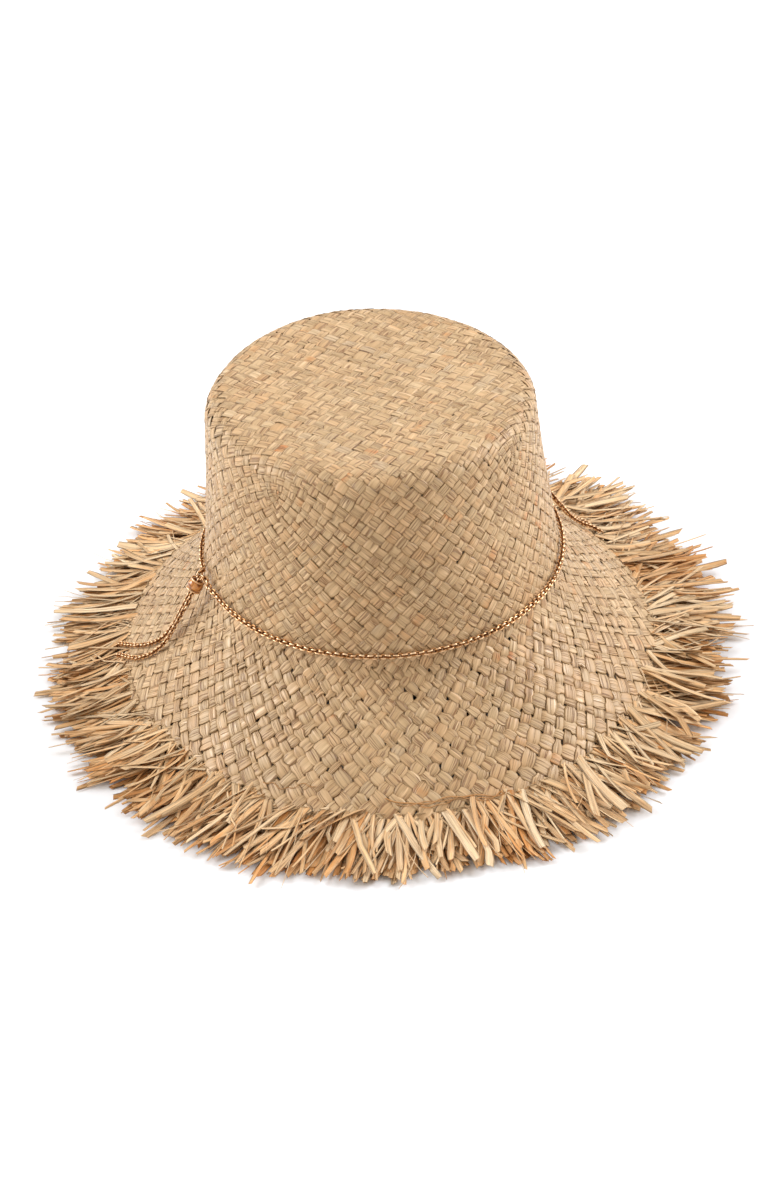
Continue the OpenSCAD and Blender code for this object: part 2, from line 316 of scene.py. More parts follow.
# ---------------------------------------------------------------- materials
class Shade:
    """A short way to write a node tree."""

    def __init__(self, name):
        self.material = bpy.data.materials.new(name)
        self.material.use_nodes = True
        self.tree = self.material.node_tree
        self.bsdf = self.tree.nodes["Principled BSDF"]

    def put(self, socket, value):
        if isinstance(value, bpy.types.NodeSocket):
            self.tree.links.new(value, socket)
        elif isinstance(value, tuple) and len(value) == 3 and socket.type == "RGBA":
            socket.default_value = (*value, 1.0)
        else:
            socket.default_value = value

    def node(self, kind, inputs=(), **settings):
        made = self.tree.nodes.new(kind)
        for key, value in settings.items():
            setattr(made, key, value)
        for key, value in dict(inputs).items():
            self.put(made.inputs[key], value)
        return made

    def math(self, operation, a, b=0.0, c=0.0):
        made = self.node("ShaderNodeMath", operation=operation)
        for socket, value in zip(made.inputs, (a, b, c)):
            self.put(socket, value)
        return made.outputs[0]

    def plus(self, a, b):
        return self.math("ADD", a, b)

    def less(self, a, b):
        return self.math("SUBTRACT", a, b)

    def times(self, a, b):
        return self.math("MULTIPLY", a, b)

    def scaled(self, value, by, plus):
        return self.math("MULTIPLY_ADD", value, by, plus)

    def about(self, value, middle, by):
        """How far the value is from its middle, times `by`."""
        return self.times(self.less(value, middle), by)

    def span(self, value, low, high):
        """0 at low and 1 at high, eased."""
        made = self.node("ShaderNodeMapRange", interpolation_type="SMOOTHSTEP")
        for socket, v in zip(made.inputs, (value, low, high)):
            self.put(socket, v)
        return made.outputs[0]

    def mix(self, factor, a, b, blend="MIX"):
        made = self.node("ShaderNodeMix", data_type="RGBA", blend_type=blend)
        self.put(made.inputs[0], factor)
        self.put(made.inputs[6], a)
        self.put(made.inputs[7], b)
        return made.outputs[2]

    def place(self):
        return self.node("ShaderNodeTexCoord").outputs["Object"]

    def strand(self):
        """The uv of a strand: across it and along it."""
        uv = self.node("ShaderNodeUVMap", uv_map="strand").outputs[0]
        return self.node("ShaderNodeSeparateXYZ", {0: uv}).outputs[:2]

    def tone(self):
        """The tone's three values: hue, lightness, and a number that marks one strand."""
        tone = self.node("ShaderNodeAttribute", attribute_name="tone").outputs["Color"]
        return self.node("ShaderNodeSeparateColor", {0: tone}).outputs[:3]

    def noise(self, vector, scale, detail=2.0, roughness=0.5, distortion=0.0):
        inputs = {"Vector": vector, "Scale": scale, "Detail": detail}
        inputs.update(Roughness=roughness, Distortion=distortion)
        return self.node("ShaderNodeTexNoise", inputs).outputs[0]

    def grain(self, strand, scale, third, roughness, detail=2.0):
        """Noise with its own scale across and along a strand."""
        u, v = (self.times(value, by) for value, by in zip(strand, scale))
        return self.noise(self.vector(u, v, third), 1.0, detail, roughness)

    def vector(self, x, y, z):
        return self.node("ShaderNodeCombineXYZ", {"X": x, "Y": y, "Z": z}).outputs[0]

    def ramp(self, value, stops):
        made = self.node("ShaderNodeValToRGB", {"Fac": value})
        elements = made.color_ramp.elements
        while len(elements) < len(stops):
            elements.new(0.5)
        for element, (at, colour) in zip(elements, stops):
            element.position, element.color = at, (*colour, 1.0)
        return made.outputs[0]

    def bump(self, height, strength, distance):
        inputs = {"Height": height, "Strength": strength, "Distance": distance}
        return self.node("ShaderNodeBump", inputs).outputs[0]

    def finish(self, **inputs):
        for key, value in inputs.items():
            self.put(self.bsdf.inputs[key.replace("_", " ")], value)
        return self.material


def rgb(r, g, b):
    """A display colour, 0 to 255, as the linear colour that the shader takes."""
    return tuple(
        (c / 255 / 12.92) if c <= 10.31475 else ((c / 255 + 0.055) / 1.055) ** 2.4 for c in (r, g, b)
    )


def straw_material(name, palette, groove, gloss, groove_shade_colour, fine=4.2, long=0.14, mottle=0.0):
    """Split palm straw: fine fibres along each strand, grooves where it is split, painted dark as
    shade, and a colour that drifts from strand to strand."""
    m = Shade(name)
    strand = m.strand()
    hue, light, who = m.tone()
    far = m.times(who, 173.0)  # keeps each strand's noise apart from the next one's
    lines = m.grain(strand, (fine, long), far, 0.55)
    fibres = m.grain(strand, (9.0, 0.4), far, 0.6)
    streaks = m.grain(strand, (4.0, 0.3), m.plus(far, 7.0), 0.5)
    blotches = m.grain(strand, (0.9, 0.5), far, 0.5)
    tint = m.plus(hue, m.about(blotches, 0.5, 0.6))
    tint = m.plus(tint, m.about(m.plus(lines, fibres), 1.0, mottle))
    colour = m.ramp(tint, [(k / (len(palette) - 1), c) for k, c in enumerate(palette)])
    split = m.less(1.0, m.span(m.math("ABSOLUTE", m.less(lines, 0.46)), 0.006, 0.034))
    shine = m.span(streaks, 0.55, 0.70)
    value = m.scaled(light, 0.62, 0.69)
    for part, by, plus in ((fibres, 0.72, 0.66), (lines, 0.34, 0.83), (shine, 0.22, 0.95)):
        value = m.times(value, m.scaled(part, by, plus))
    shade = {0: value, 1: m.math("POWER", value, 1.2), 2: m.math("POWER", value, 1.55)}
    colour = m.mix(1.0, colour, m.node("ShaderNodeCombineColor", shade).outputs[0], "MULTIPLY")
    # painted shade: the split grooves are coloured dark
    colour = m.mix(m.times(split, groove), colour, groove_shade_colour)
    rough = m.plus(m.less(gloss, m.times(shine, 0.2)), m.about(fibres, 0.5, 0.2))
    height = m.plus(m.times(fibres, 0.5), m.times(lines, 0.8))
    bump = m.bump(m.less(height, m.times(split, 0.7)), 0.8, 0.0003)
    return m.finish(Base_Color=colour, Roughness=rough, Normal=bump, Specular_IOR_Level=0.35)


def metal_material():
    m = Shade("rose_brass")
    place = m.place()
    worn = m.noise(place, 900.0, 3.0, 0.6)
    # random wear, plus the painted shade that the chain's links carry in the tone's first value
    wear_and_painted_shade = m.plus(m.about(worn, 0.5, 0.4), m.tone()[0])
    stops = (0.0, rgb(104, 58, 26)), (0.45, rgb(204, 148, 94)), (1.0, rgb(252, 224, 184))
    return m.finish(
        Base_Color=m.ramp(wear_and_painted_shade, stops),
        Metallic=1.0,
        Roughness=m.scaled(worn, 0.22, 0.2),
        Normal=m.bump(m.noise(place, 2600.0), 0.25, 0.00003),
    )


def resin_material():
    m = Shade("caramel_resin")
    swirl = m.noise(m.place(), 260.0, 3.0, 0.6, 2.2)
    stops = (0.28, rgb(84, 44, 14)), (0.5, rgb(176, 106, 40)), (0.72, rgb(220, 154, 82))
    return m.finish(
        Base_Color=m.ramp(swirl, stops),
        Roughness=m.scaled(swirl, 0.12, 0.14),
        Coat_Weight=0.5,
        Coat_Roughness=0.06,
        Normal=m.bump(swirl, 0.12, 0.00008),
    )


def thread_material(name, light, dark):
    m = Shade(name)
    place = m.place()
    inputs = {"Vector": place, "Scale": 1500.0, "Distortion": 1.5, "Detail": 2.0}
    ply = m.node("ShaderNodeTexWave", inputs, bands_direction="DIAGONAL").outputs["Fac"]
    fuzz = m.noise(place, 2400.0, 2.0, 0.6)
    return m.finish(
        Base_Color=m.mix(m.plus(m.times(ply, 0.6), m.times(fuzz, 0.4)), dark, light),
        Roughness=m.scaled(fuzz, 0.2, 0.66),
        Sheen_Weight=0.2,
        Normal=m.bump(ply, 0.6, 0.00008),
    )


def grosgrain_material(name, light, dark):
    """A ribbed ribbon; uv is in millimetres, across and along."""
    m = Shade(name)
    strand = m.strand()
    yarn, rib = (
        m.scaled(m.math("SINE", m.times(value, by)), 0.5, 0.5) for value, by in zip(strand, (14.0, 5.2))
    )
    slub = m.grain(strand, (2.2, 0.4), 0.0, 0.6, 3.0)
    weave = m.plus(m.times(rib, 0.7), m.times(m.times(yarn, rib), 0.3))
    return m.finish(
        Base_Color=m.mix(m.plus(m.times(weave, 0.55), m.times(slub, 0.45)), dark, light),
        Roughness=m.scaled(slub, 0.2, 0.62),
        Sheen_Weight=0.25,
        Normal=m.bump(weave, 0.7, 0.0002),
    )


PALETTE = [
    rgb(190, 162, 127), rgb(192, 161, 120), rgb(194, 159, 117), rgb(197, 155, 109), rgb(188, 126, 76),
]  # fmt: skip
RAW = [
    rgb(224, 196, 156), rgb(222, 188, 144), rgb(220, 177, 126), rgb(212, 158, 101), rgb(202, 136, 72),
]  # fmt: skip
# the dark colour given to each is the painted shade in its split grooves
straw = straw_material("straw", PALETTE, 0.7, 0.46, rgb(110, 66, 30), mottle=0.3)
raw_straw = straw_material("raw_straw", RAW, 0.4, 0.5, rgb(158, 94, 40), 5.0, 0.05, 0.9)
metal = metal_material()
resin = resin_material()
straw_thread = thread_material("straw_thread", rgb(200, 170, 126), rgb(150, 118, 78))
cream_thread = thread_material("cream_thread", rgb(236, 224, 198), rgb(190, 172, 138))
ribbon = grosgrain_material("grosgrain", rgb(236, 226, 206), rgb(192, 176, 146))
label_cloth = grosgrain_material("label_cloth", rgb(244, 238, 226), rgb(206, 196, 178))


# ---------------------------------------------------------------- the chin chain
for name, route, seed in (("chin_chain_front", FRONT_STRAND, 3), ("chin_chain_back", BACK_STRAND, 4)):
    way = smooth_route(route, 1.42)
    links = linked(name + "_links", chain_mesh(name + "_links", way, seed), metal)
    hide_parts(name)


# ---------------------------------------------------------------- the straw's shape
STRAW = 1.8
top_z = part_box("crown_tip")[1].z / MM
foot_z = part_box("crown_side")[0].z / MM
foot_a, foot_b = (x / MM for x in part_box("crown_side")[1][:2])
tip_a, tip_b = (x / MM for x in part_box("crown_tip")[1][:2])
edge_a, edge_b = (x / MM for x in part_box("brim")[1][:2])
EDGE_Z = 10.0
SHOULDER = 11.0
FLARE = (1.3, 4.5), (3.7, 9.0), (7.2, 13.5)  # out and down from the crown's foot
TIP_STEPS, BEND_STEPS = 40, 18
PROFILE_STEP = 0.4
BEYOND = 12.01  # how far the profile goes on past the brim's edge
BRIM_N = 98  # strands of each direction round the brim, where more are worked in
N = 76  # strands of each direction round the crown
HALF = N / 8  # half the side of the crown top's square plait, in lattice steps
WALL = 12.5  # lattice steps down the crown's side


def make_profile():
    """The outer face from the middle of the crown top to the brim's edge: half-width,
    half-length and height, against the distance along it."""
    start = [(tip_a * k, tip_b * k, top_z) for k in np.linspace(0, 1, TIP_STEPS)]
    bend = []
    for q in np.radians(np.linspace(90, 0, BEND_STEPS + 1))[1:]:
        x, z = SHOULDER * math.cos(q), SHOULDER * math.sin(q)
        bend.append((tip_a + x, tip_b + x, top_z - SHOULDER + z))
    foot = [(foot_a, foot_b, foot_z)]
    flare = [(foot_a + x, foot_b + x, foot_z - z) for x, z in FLARE]
    edge = [(edge_a, edge_b, EDGE_Z)]
    p = np.array(start + bend + foot + flare + edge)
    mean = np.stack([(p[:, 0] + p[:, 1]) / 2, p[:, 2]], 1)
    t = arc_length(mean)
    tip_end, bend_end = TIP_STEPS - 1, TIP_STEPS - 1 + BEND_STEPS
    marks = t[tip_end], t[bend_end], t[bend_end + 1], t[-1]
    fine = np.arange(0, t[-1] + BEYOND, PROFILE_STEP)
    out = [np.interp(fine, t, p[:, k]) for k in range(3)]
    last = (p[-1] - p[-2]) / (t[-1] - t[-2])
    beyond = np.maximum(fine - t[-1], 0)
    out = [o + last[k] * beyond for k, o in enumerate(out)]
    kernel = bell(10, PROFILE_STEP, 1.5)
    soft = [np.convolve(np.pad(o, 10, "edge"), kernel, "valid") for o in out]
    inner = smoothstep((fine - 20) / 30)
    outer = 1 - smoothstep((fine - t[-1]) / 6)
    k = inner * outer
    out = [mixed(o, s, k) for o, s in zip(out, soft)]
    slope = np.gradient((out[0] + out[1]) / 2, fine), np.gradient(out[2], fine)
    size = np.hypot(*slope)
    return fine, out[0], out[1], out[2], -slope[1] / size, slope[0] / size, marks


T, A, B, Z, NR, NZ, MARKS = make_profile()
T_FOOT, T_EDGE = MARKS[2], MARKS[3]
T_SQUARE = (MARKS[0] + MARKS[1]) / 2

wave_rng = np.random.default_rng(5)
WAVES = [
    (wave_rng.normal(0, 1, 3), wave_rng.uniform(0, TAU), unit(wave_rng.normal(0, 1, 3)), w)
    for w in (17, 21, 26, 33, 41, 52, 66, 85)
]


def wobble(p):
    """Small smooth unevenness of the handmade plait, in millimetres."""
    out = np.zeros_like(p)
    for way, phase, push, wide in WAVES:
        k = unit(way) * TAU / wide
        out += push * (0.0052 * wide ** 0.95) * np.sin(p @ k + phase)[..., None]
    return out


def surface(phi, t, lift=0.0):
    """Point and outward normal on the straw's middle face; phi is 0 at the front."""
    a, b, z = np.interp(t, T, A), np.interp(t, T, B), np.interp(t, T, Z)
    s, c = np.sin(phi), np.cos(phi)
    ex, ey = s / np.maximum(a, 0.01), -c / np.maximum(b, 0.01)
    e = np.hypot(ex, ey)
    nr, nz = np.interp(t, T, NR), np.interp(t, T, NZ)
    size = np.hypot(nr, nz)
    n = np.stack([ex / e * nr / size, ey / e * nr / size, nz / size], -1)
    p = np.stack([a * s, -b * c, z], -1) + n * (np.asarray(lift) - STRAW / 2)[..., None]
    return p + wobble(p), n


# ---------------------------------------------------------------- the plait's lattice
# The crown top is a square plait, N/4 lattice steps a side. Its four sides become the
# crown's side, which has N strands each way, so the plait has four three-way corners. The
# grid below is relaxed until every point is the mean of its neighbours.
FINE = 4  # grid steps in a lattice step
SIDE_N = int(2 * HALF * FINE)
ROWS = int(WALL * FINE)


def relax_lattice(rounds=2000):
    k = np.linspace(-1, 1, SIDE_N + 1)
    x, y = np.meshgrid(k, k, indexing="ij")
    flat = np.stack([x * np.sqrt(1 - y * y / 2), y * np.sqrt(1 - x * x / 2)], -1) * T_SQUARE
    cols = 4 * SIDE_N
    c = np.arange(cols)
    phi = np.repeat((-np.pi / 4 + c * TAU / cols)[:, None], ROWS + 1, 1)
    t = np.repeat(np.linspace(T_SQUARE, T_FOOT, ROWS + 1)[None], cols, 0)
    up, down, low, high = c[:SIDE_N], SIDE_N - c[:SIDE_N], np.zeros(SIDE_N, int), np.full(SIDE_N, SIDE_N)
    ix = np.concatenate([up, high, down, low])
    iy = np.concatenate([low, up, high, down])
    jx, jy = np.clip(ix, 1, SIDE_N - 1), np.clip(iy, 1, SIDE_N - 1)
    corner = (c % SIDE_N) == 0
    turn = np.zeros((cols, 1))
    turn[-1] = TAU
    for _ in range(rounds):
        after = np.roll(phi, -1, 0) + turn
        before = np.roll(phi, 1, 0) - np.roll(turn, 1, 0)
        t_after, t_before = np.roll(t, -1, 0), np.roll(t, 1, 0)
        inner = flat[jx, jy]
        inner_t = np.hypot(inner[:, 0], inner[:, 1])
        inner_phi = np.arctan2(inner[:, 0], -inner[:, 1])
        inner_phi += TAU * np.round((phi[:, 0] - inner_phi) / TAU)
        share = np.where(corner, 0.0, 1.0)
        ring_phi = (after[:, 0] + before[:, 0] + phi[:, 1] + share * inner_phi) / (3 + share)
        ring_t = (t_after[:, 0] + t_before[:, 0] + t[:, 1] + share * inner_t) / (3 + share)
        flat[1:-1, 1:-1] = (flat[2:, 1:-1] + flat[:-2, 1:-1] + flat[1:-1, 2:] + flat[1:-1, :-2]) / 4
        phi[:, 1:-1] = (after[:, 1:-1] + before[:, 1:-1] + phi[:, 2:] + phi[:, :-2]) / 4
        t[:, 1:-1] = (t_after[:, 1:-1] + t_before[:, 1:-1] + t[:, 2:] + t[:, :-2]) / 4
        phi[:, 0], t[:, 0] = ring_phi, ring_t
        flat[ix, iy] = np.stack([ring_t * np.sin(ring_phi), -ring_t * np.cos(ring_phi)], 1)
    phi = np.vstack([phi, phi[:1] + TAU])
    t = np.vstack([t, t[:1]])
    return flat, phi, t


FLAT, RING_PHI, RING_T = relax_lattice()


def bilinear(grid, x, y):
    i = np.clip(np.floor(x).astype(int), 0, grid.shape[0] - 2)
    j = np.clip(np.floor(y).astype(int), 0, grid.shape[1] - 2)
    fx, fy = x - i, y - j
    if grid.ndim == 3:
        fx, fy = fx[..., None], fy[..., None]
    near = mixed(grid[i, j], grid[i + 1, j], fx)
    return mixed(near, mixed(grid[i, j + 1], grid[i + 1, j + 1], fx), fy)


FOOT_ROW, EDGE_ROW = 7.4, 9.4  # how deep a row of the brim's plait is, at its two ends


def brim_rows(step=0.25):
    """Distance down the brim against the lattice's row count."""
    t = np.arange(T_FOOT - 4, T_EDGE + 14, step)
    row = mixed(FOOT_ROW, EDGE_ROW, smoothstep((t - T_FOOT) / (T_EDGE - T_FOOT)))
    return t, np.cumsum(step / row)


BRIM_T, BRIM_G = brim_rows()
G_FOOT = HALF + WALL
G_EDGE = float(np.interp(T_EDGE, BRIM_T, BRIM_G))


warp_rng = np.random.default_rng(8)
NARROW_U, NARROW_V = np.clip(warp_rng.normal(0, 0.12, (2, N)), -0.26, 0.26)
NARROW_A, NARROW_B = np.clip(warp_rng.normal(0, 0.12, (2, BRIM_N)), -0.26, 0.26)
SHARE_EASE = 2.5  # lattice steps; at the crown's shoulder the strands are all as wide


def shifted(line, shifts, share):
    """Strands differ in width, so the lines between them aren't evenly spaced."""
    k = np.mod(line, len(shifts))
    i = np.floor(k).astype(int) % len(shifts)
    return line + share * mixed(shifts[i], shifts[(i + 1) % len(shifts)], k - np.floor(k))


def on_wall(u, v):
    """phi and t of a lattice place on the crown's side."""
    share = smoothstep((-(u + v) / 2 - HALF) / SHARE_EASE)
    u, v = shifted(u, NARROW_U, share), shifted(v, NARROW_V, share)
    x, g = (u - v) / 2, -(u + v) / 2
    round_ = np.floor((x + HALF) / N)
    column = (x + HALF - round_ * N) * FINE
    row = np.clip((g - HALF) * FINE, 0, ROWS)
    phi = bilinear(RING_PHI, column, row) + round_ * TAU
    t = bilinear(RING_T, column, row) + np.maximum(g - G_FOOT, 0) * 7.0
    return phi, t


def on_brim(u, v):
    u, v = shifted(u, NARROW_A, 1.0), shifted(v, NARROW_B, 1.0)
    return (u - v) * np.pi / BRIM_N, np.interp(-(u + v) / 2, BRIM_G, BRIM_T)


def on_top(u, v):
    x, y = (u - v) / 2, (u + v) / 2
    share = smoothstep((HALF - np.maximum(np.abs(x), np.abs(y))) / SHARE_EASE)
    u, v = shifted(u, NARROW_U, share), shifted(v, NARROW_V, share)
    x, y = (u - v) / 2, (u + v) / 2
    p = bilinear(FLAT, (x + HALF) * FINE, (y + HALF) * FINE)
    return np.arctan2(p[..., 0], -p[..., 1]), np.hypot(p[..., 0], p[..., 1])


# ---------------------------------------------------------------- plaited straw
SECTION_Y = np.array([-1.0, -0.72, -0.36, 0.0, 0.36, 0.72, 1.0, 0.5, -0.5])
SECTION_Z = np.array([0.38, 0.84, 0.97, 1.0, 0.97, 0.84, 0.38, -0.3, -0.3])
SIDES = len(SECTION_Y)
LIFT = 0.36  # how far a strand rises over the one it crosses
THICK = 0.42
CREASE = 0.6  # how deep the groove is where a strand is split
TUCK = 0.7  # how far the brim's strands start inside the crown's
CELL_STEPS = 5  # sections of a strand in a lattice step


def drifts(rng, rows, steps):
    """A function that gives smooth random values along each strand, about -1 to 1."""

    def drift(wide):
        knots = rng.normal(0, 0.6, (rows, int(steps / wide) + 3))
        x = np.arange(steps) / wide + rng.random((rows, 1))
        i = x.astype(int)
        r = np.arange(rows)[:, None]
        return mixed(knots[r, i], knots[r, i + 1], smoothstep(x - i))

    return drift


def toned(hue, light, who):
    """The tone of each point: hue, lightness and a number that marks one strand."""
    return stacked(np.clip(hue, 0, 1)[..., None], light, who, 1.0)


def plait(heap, place, fixed, start, stop, u_family, rng, puff=1.0, holes=0.85, tuck_shade=0.3):
    """One family of strands. Each keeps its own lattice line `fixed` and runs from `start`
    to `stop` along the other direction."""
    rows = len(fixed)
    steps = int(np.ceil((stop - start).max() * CELL_STEPS)) + 1
    drift = drifts(rng, rows, steps)
    k = np.linspace(0, 1, steps)[None]
    run = start[:, None] + (stop - start)[:, None] * k
    line = fixed[:, None] + 0.5
    shift = 0.07 * drift(26) + 0.03 * rng.normal(0, 1, (rows, 1))

    def spot(off_line):
        a = line + shift + off_line
        return place(a, run) if u_family else place(run, a)

    beat = powered(np.cos(np.pi * (run - 0.5 + fixed[:, None])), 0.6) * (1 if u_family else -1)
    rise = beat * LIFT * puff * (1 + 0.16 * drift(9))
    rise = rise + 0.05 * drift(14)
    if place is on_brim:
        rise = rise - TUCK * smoothstep((T_FOOT + 2.0 - spot(0.0)[1]) / 4)
    centre, normal = surface(*spot(0.0), lift=rise)
    base, _ = surface(*spot(0.0))
    left, _ = surface(*spot(-0.5))
    right, _ = surface(*spot(0.5))
    tangent = unit(np.gradient(centre, axis=1))
    flat_way = unit(np.gradient(base, axis=1))
    normal = unit(normal - tangent * (normal * tangent).sum(-1, keepdims=True))
    gap = np.linalg.norm(np.cross(flat_way, right - left), axis=-1)
    side = np.cross(tangent, normal)
    spread = 1.05 + 0.07 * beat + 0.035 * drift(11)
    width = gap / 2 * (spread + 0.02 * rng.normal(0, 1, (rows, 1)))
    gape = (1 - np.abs(beat)) ** 1.6
    gape = gape * (0.05 + 0.26 * smoothstep(0.5 + 0.6 * drift(24)))
    width = width * (1 - gape * (1.35 - holes))
    pinch = 1 - 0.42 * smoothstep((drift(3.2) - holes) * 2)
    width = width * pinch
    kind = rng.random((rows, 1)) + 0.22 * drift(60)
    in_two = smoothstep((kind - 0.30) / 0.1) * (1 - smoothstep((kind - 0.72) / 0.1))
    in_three = smoothstep((kind - 0.72) / 0.1)
    wear = 0.75 + 0.25 * drift(12)
    z = np.broadcast_to(SECTION_Z, (rows, steps, SIDES)).copy()
    for point, share in ((3, in_two), (2, in_three), (4, in_three)):
        z[..., point] -= CREASE * share * wear
    roll = 0.10 * drift(8)
    z = z * THICK + roll[..., None] * SECTION_Y
    points = swept(centre, side, normal, SECTION_Y * width[..., None], z)
    uv = stacked((SECTION_Y + 1) / 2, run[..., None] + 40 * rng.random((rows, 1, 1)))
    hue = 0.42 + 0.08 * rng.normal(0, 1, (rows, 1)) + 0.10 * drift(10)
    odd = rng.random((rows, 1))
    burnt = smoothstep((drift(4.5) - 0.7) * 1.3)
    hue = hue + np.where(odd < 0.05, -0.2, 0) + 0.4 * burnt
    light = 0.54 + 0.06 * rng.normal(0, 1, (rows, 1)) + 0.09 * drift(5)
    # painted shade: a strand is darker where it dips under the one it crosses
    light = light - tuck_shade * (1 - np.clip(beat, 0, 1)) ** 2.5
    # painted shade: the two edge points of each strand are darker, where it meets its neighbours
    light = np.clip(light, 0, 1)[..., None] - 0.26 * (SECTION_Y**2 > 0.9)
    heap.add(points, tube_quads(rows, steps, SIDES), uv, toned(hue, light, rng.random((rows, 1, 1))))
    return centre, tangent, normal, width


def weave_top():
    heap = Heap()
    lines = np.arange(-int(2 * HALF), int(2 * HALF))
    reach = 2 * HALF - np.abs(lines + 0.5)
    for family in (True, False):
        rng = np.random.default_rng(21 + family)
        for one, r in zip(lines, reach):
            one, start, stop = np.array([one]), np.array([-r]), np.array([r])
            # the crown top's painted shade under crossings is lighter
            plait(heap, on_top, one, start, stop, family, rng, puff=0.6, tuck_shade=0.1)
    return heap.mesh("crown_top_plait")


def weave_side(family):
    heap = Heap()
    fixed = np.arange(N) if family else -np.arange(N) - 1
    start = -2 * (G_FOOT + 0.12) - (fixed + 0.5)
    stop = -2 * HALF - (fixed + 0.5)
    plait(heap, on_wall, fixed, start, stop, family, np.random.default_rng(31 + family))
    return heap.mesh("crown_side_plait")


ENDS = []  # where the brim's strands end: the fringe starts there


def weave_brim(family):
    heap = Heap()
    rng = np.random.default_rng(41 + family)
    fixed = np.arange(BRIM_N) if family else -np.arange(BRIM_N) - 1
    first = float(np.interp(T_FOOT - 2.5, BRIM_T, BRIM_G))
    stop = -2 * first - (fixed + 0.5)
    last = G_EDGE + 0.2 * drifts(rng, 1, BRIM_N)(3)[0] + rng.uniform(-0.3, 0.2, BRIM_N)
    start = -2 * last - (fixed + 0.5)
    woven = plait(heap, on_brim, fixed, start, stop, family, rng, holes=0.35)
    centre, tangent, normal, width = (value[:, 3] for value in woven)
    ENDS.append((centre, -tangent, normal, width, family))
    return heap.mesh("brim_plait")


top = linked("crown_top_plait", weave_top(), straw)
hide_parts("crown_tip")
for family, way in ((True, "_a"), (False, "_b")):
    side = linked("crown_side_plait" + way, weave_side(family), straw)
    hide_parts("crown_side")
    brim = linked("brim_plait" + way, weave_brim(family), straw)
    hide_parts("brim")


# ---------------------------------------------------------------- fringe
STRIP_STEPS, STRIP_THICK = 9, 0.11
STRIP_Y = np.array([-1.0, -0.4, 0.4, 1.0, 0.4, -0.4])
STRIP_Z = np.array([0.0, 1.0, 1.0, 0.0, 0.0, 0.0])
LOWEST = 0.15  # over the table


def strips(
    heap, rng, root, outward, heading, length, width, fall, tip_z, rise, bend, kink, kink_at, roll, twist,
    hue, light,
):  # fmt: skip
    """Flat straw ends. heading is the angle from `outward`, in the plane of the table."""
    rows, steps, sides = len(root), STRIP_STEPS, len(STRIP_Y)
    drift = drifts(rng, rows, steps)
    k = np.linspace(0, 1, steps)[None]
    run = length[:, None] * k
    turn = heading[:, None] * mixed(1.0, 0.75, k) + bend[:, None] * k**1.5
    turn = turn + np.where(k > kink_at[:, None], kink[:, None], 0.0)
    along = unit(np.stack([outward[:, 0], outward[:, 1]], 1))
    side = np.stack([-along[:, 1], along[:, 0]], 1)
    step = np.diff(run, axis=1, prepend=0)
    dx = np.cos(turn)[..., None] * along[:, None] + np.sin(turn)[..., None] * side[:, None]
    plan = root[:, None, :2] + np.cumsum(dx * step[..., None], 1)
    drop = np.exp(-((run / fall[:, None]) ** 1.25))
    z = tip_z[:, None] + (root[:, 2] - tip_z)[:, None] * drop + rise[:, None] * k**2.2
    centre = np.concatenate([plan, z[..., None]], -1)
    tangent = unit(np.gradient(centre, axis=1))
    flat = unit(np.cross(np.array([0, 0, 1.0]), tangent))
    up = np.cross(tangent, flat)
    angle = roll[:, None] + twist[:, None] * k
    y_way = flat * np.cos(angle)[..., None] + up * np.sin(angle)[..., None]
    z_way = np.cross(tangent, y_way)
    taper = mixed(1.0, 0.8, smoothstep((k - 0.85) / 0.15)) * (1 + 0.10 * drift(3))
    w = width[:, None] * taper
    crease = rng.normal(0, 0.13, (rows, 1, 2))
    edge = np.zeros((rows, 1, 1))
    fold = np.concatenate([edge, crease, edge, crease[..., ::-1]], -1)
    z = STRIP_Z * STRIP_THICK + fold * w[..., None]
    points = swept(centre, y_way, z_way, STRIP_Y * w[..., None], z)
    slant = rng.normal(0, 0.7, (rows, 1)) * w[:, -1:]
    points[:, -1] += tangent[:, -1][:, None] * (STRIP_Y * slant)[..., None]
    points[..., 2] = np.maximum(points[..., 2], LOWEST)
    across = (STRIP_Y + 1) / 2 * (width / 1.7)[:, None, None]
    uv = stacked(across, (run / 4.5)[..., None] + 40 * rng.random((rows, 1, 1)))
    hue = hue[:, None] + 0.10 * drift(4)
    # painted shade: each strip is a little darker towards its root
    light = np.clip(light[:, None] + 0.10 * drift(4) + 0.05 * k, 0, 1)
    light = light[..., None] + np.zeros(sides)
    heap.add(points, tube_quads(rows, steps, sides), uv, toned(hue, light, rng.random((rows, 1, 1))))


def oval_out(p):
    return unit(np.stack([p[:, 0] / edge_a**2, p[:, 1] / edge_b**2, np.zeros(len(p))], 1))


tuft_rng = np.random.default_rng(12)
TUFT_N = 42
TUFTS = np.cumsum(tuft_rng.uniform(0.6, 1.5, TUFT_N))
TUFTS = TUFTS / TUFTS[-1] * TAU
TUFT_WAY = tuft_rng.normal(0, 0.26, TUFT_N)
TUFT_REACH = 1 + 0.07 * tuft_rng.normal(0, 1, TUFT_N)
TUFT_HUE = tuft_rng.normal(0, 0.08, TUFT_N)
TUFT_RISE = tuft_rng.uniform(0, 3.0, TUFT_N)
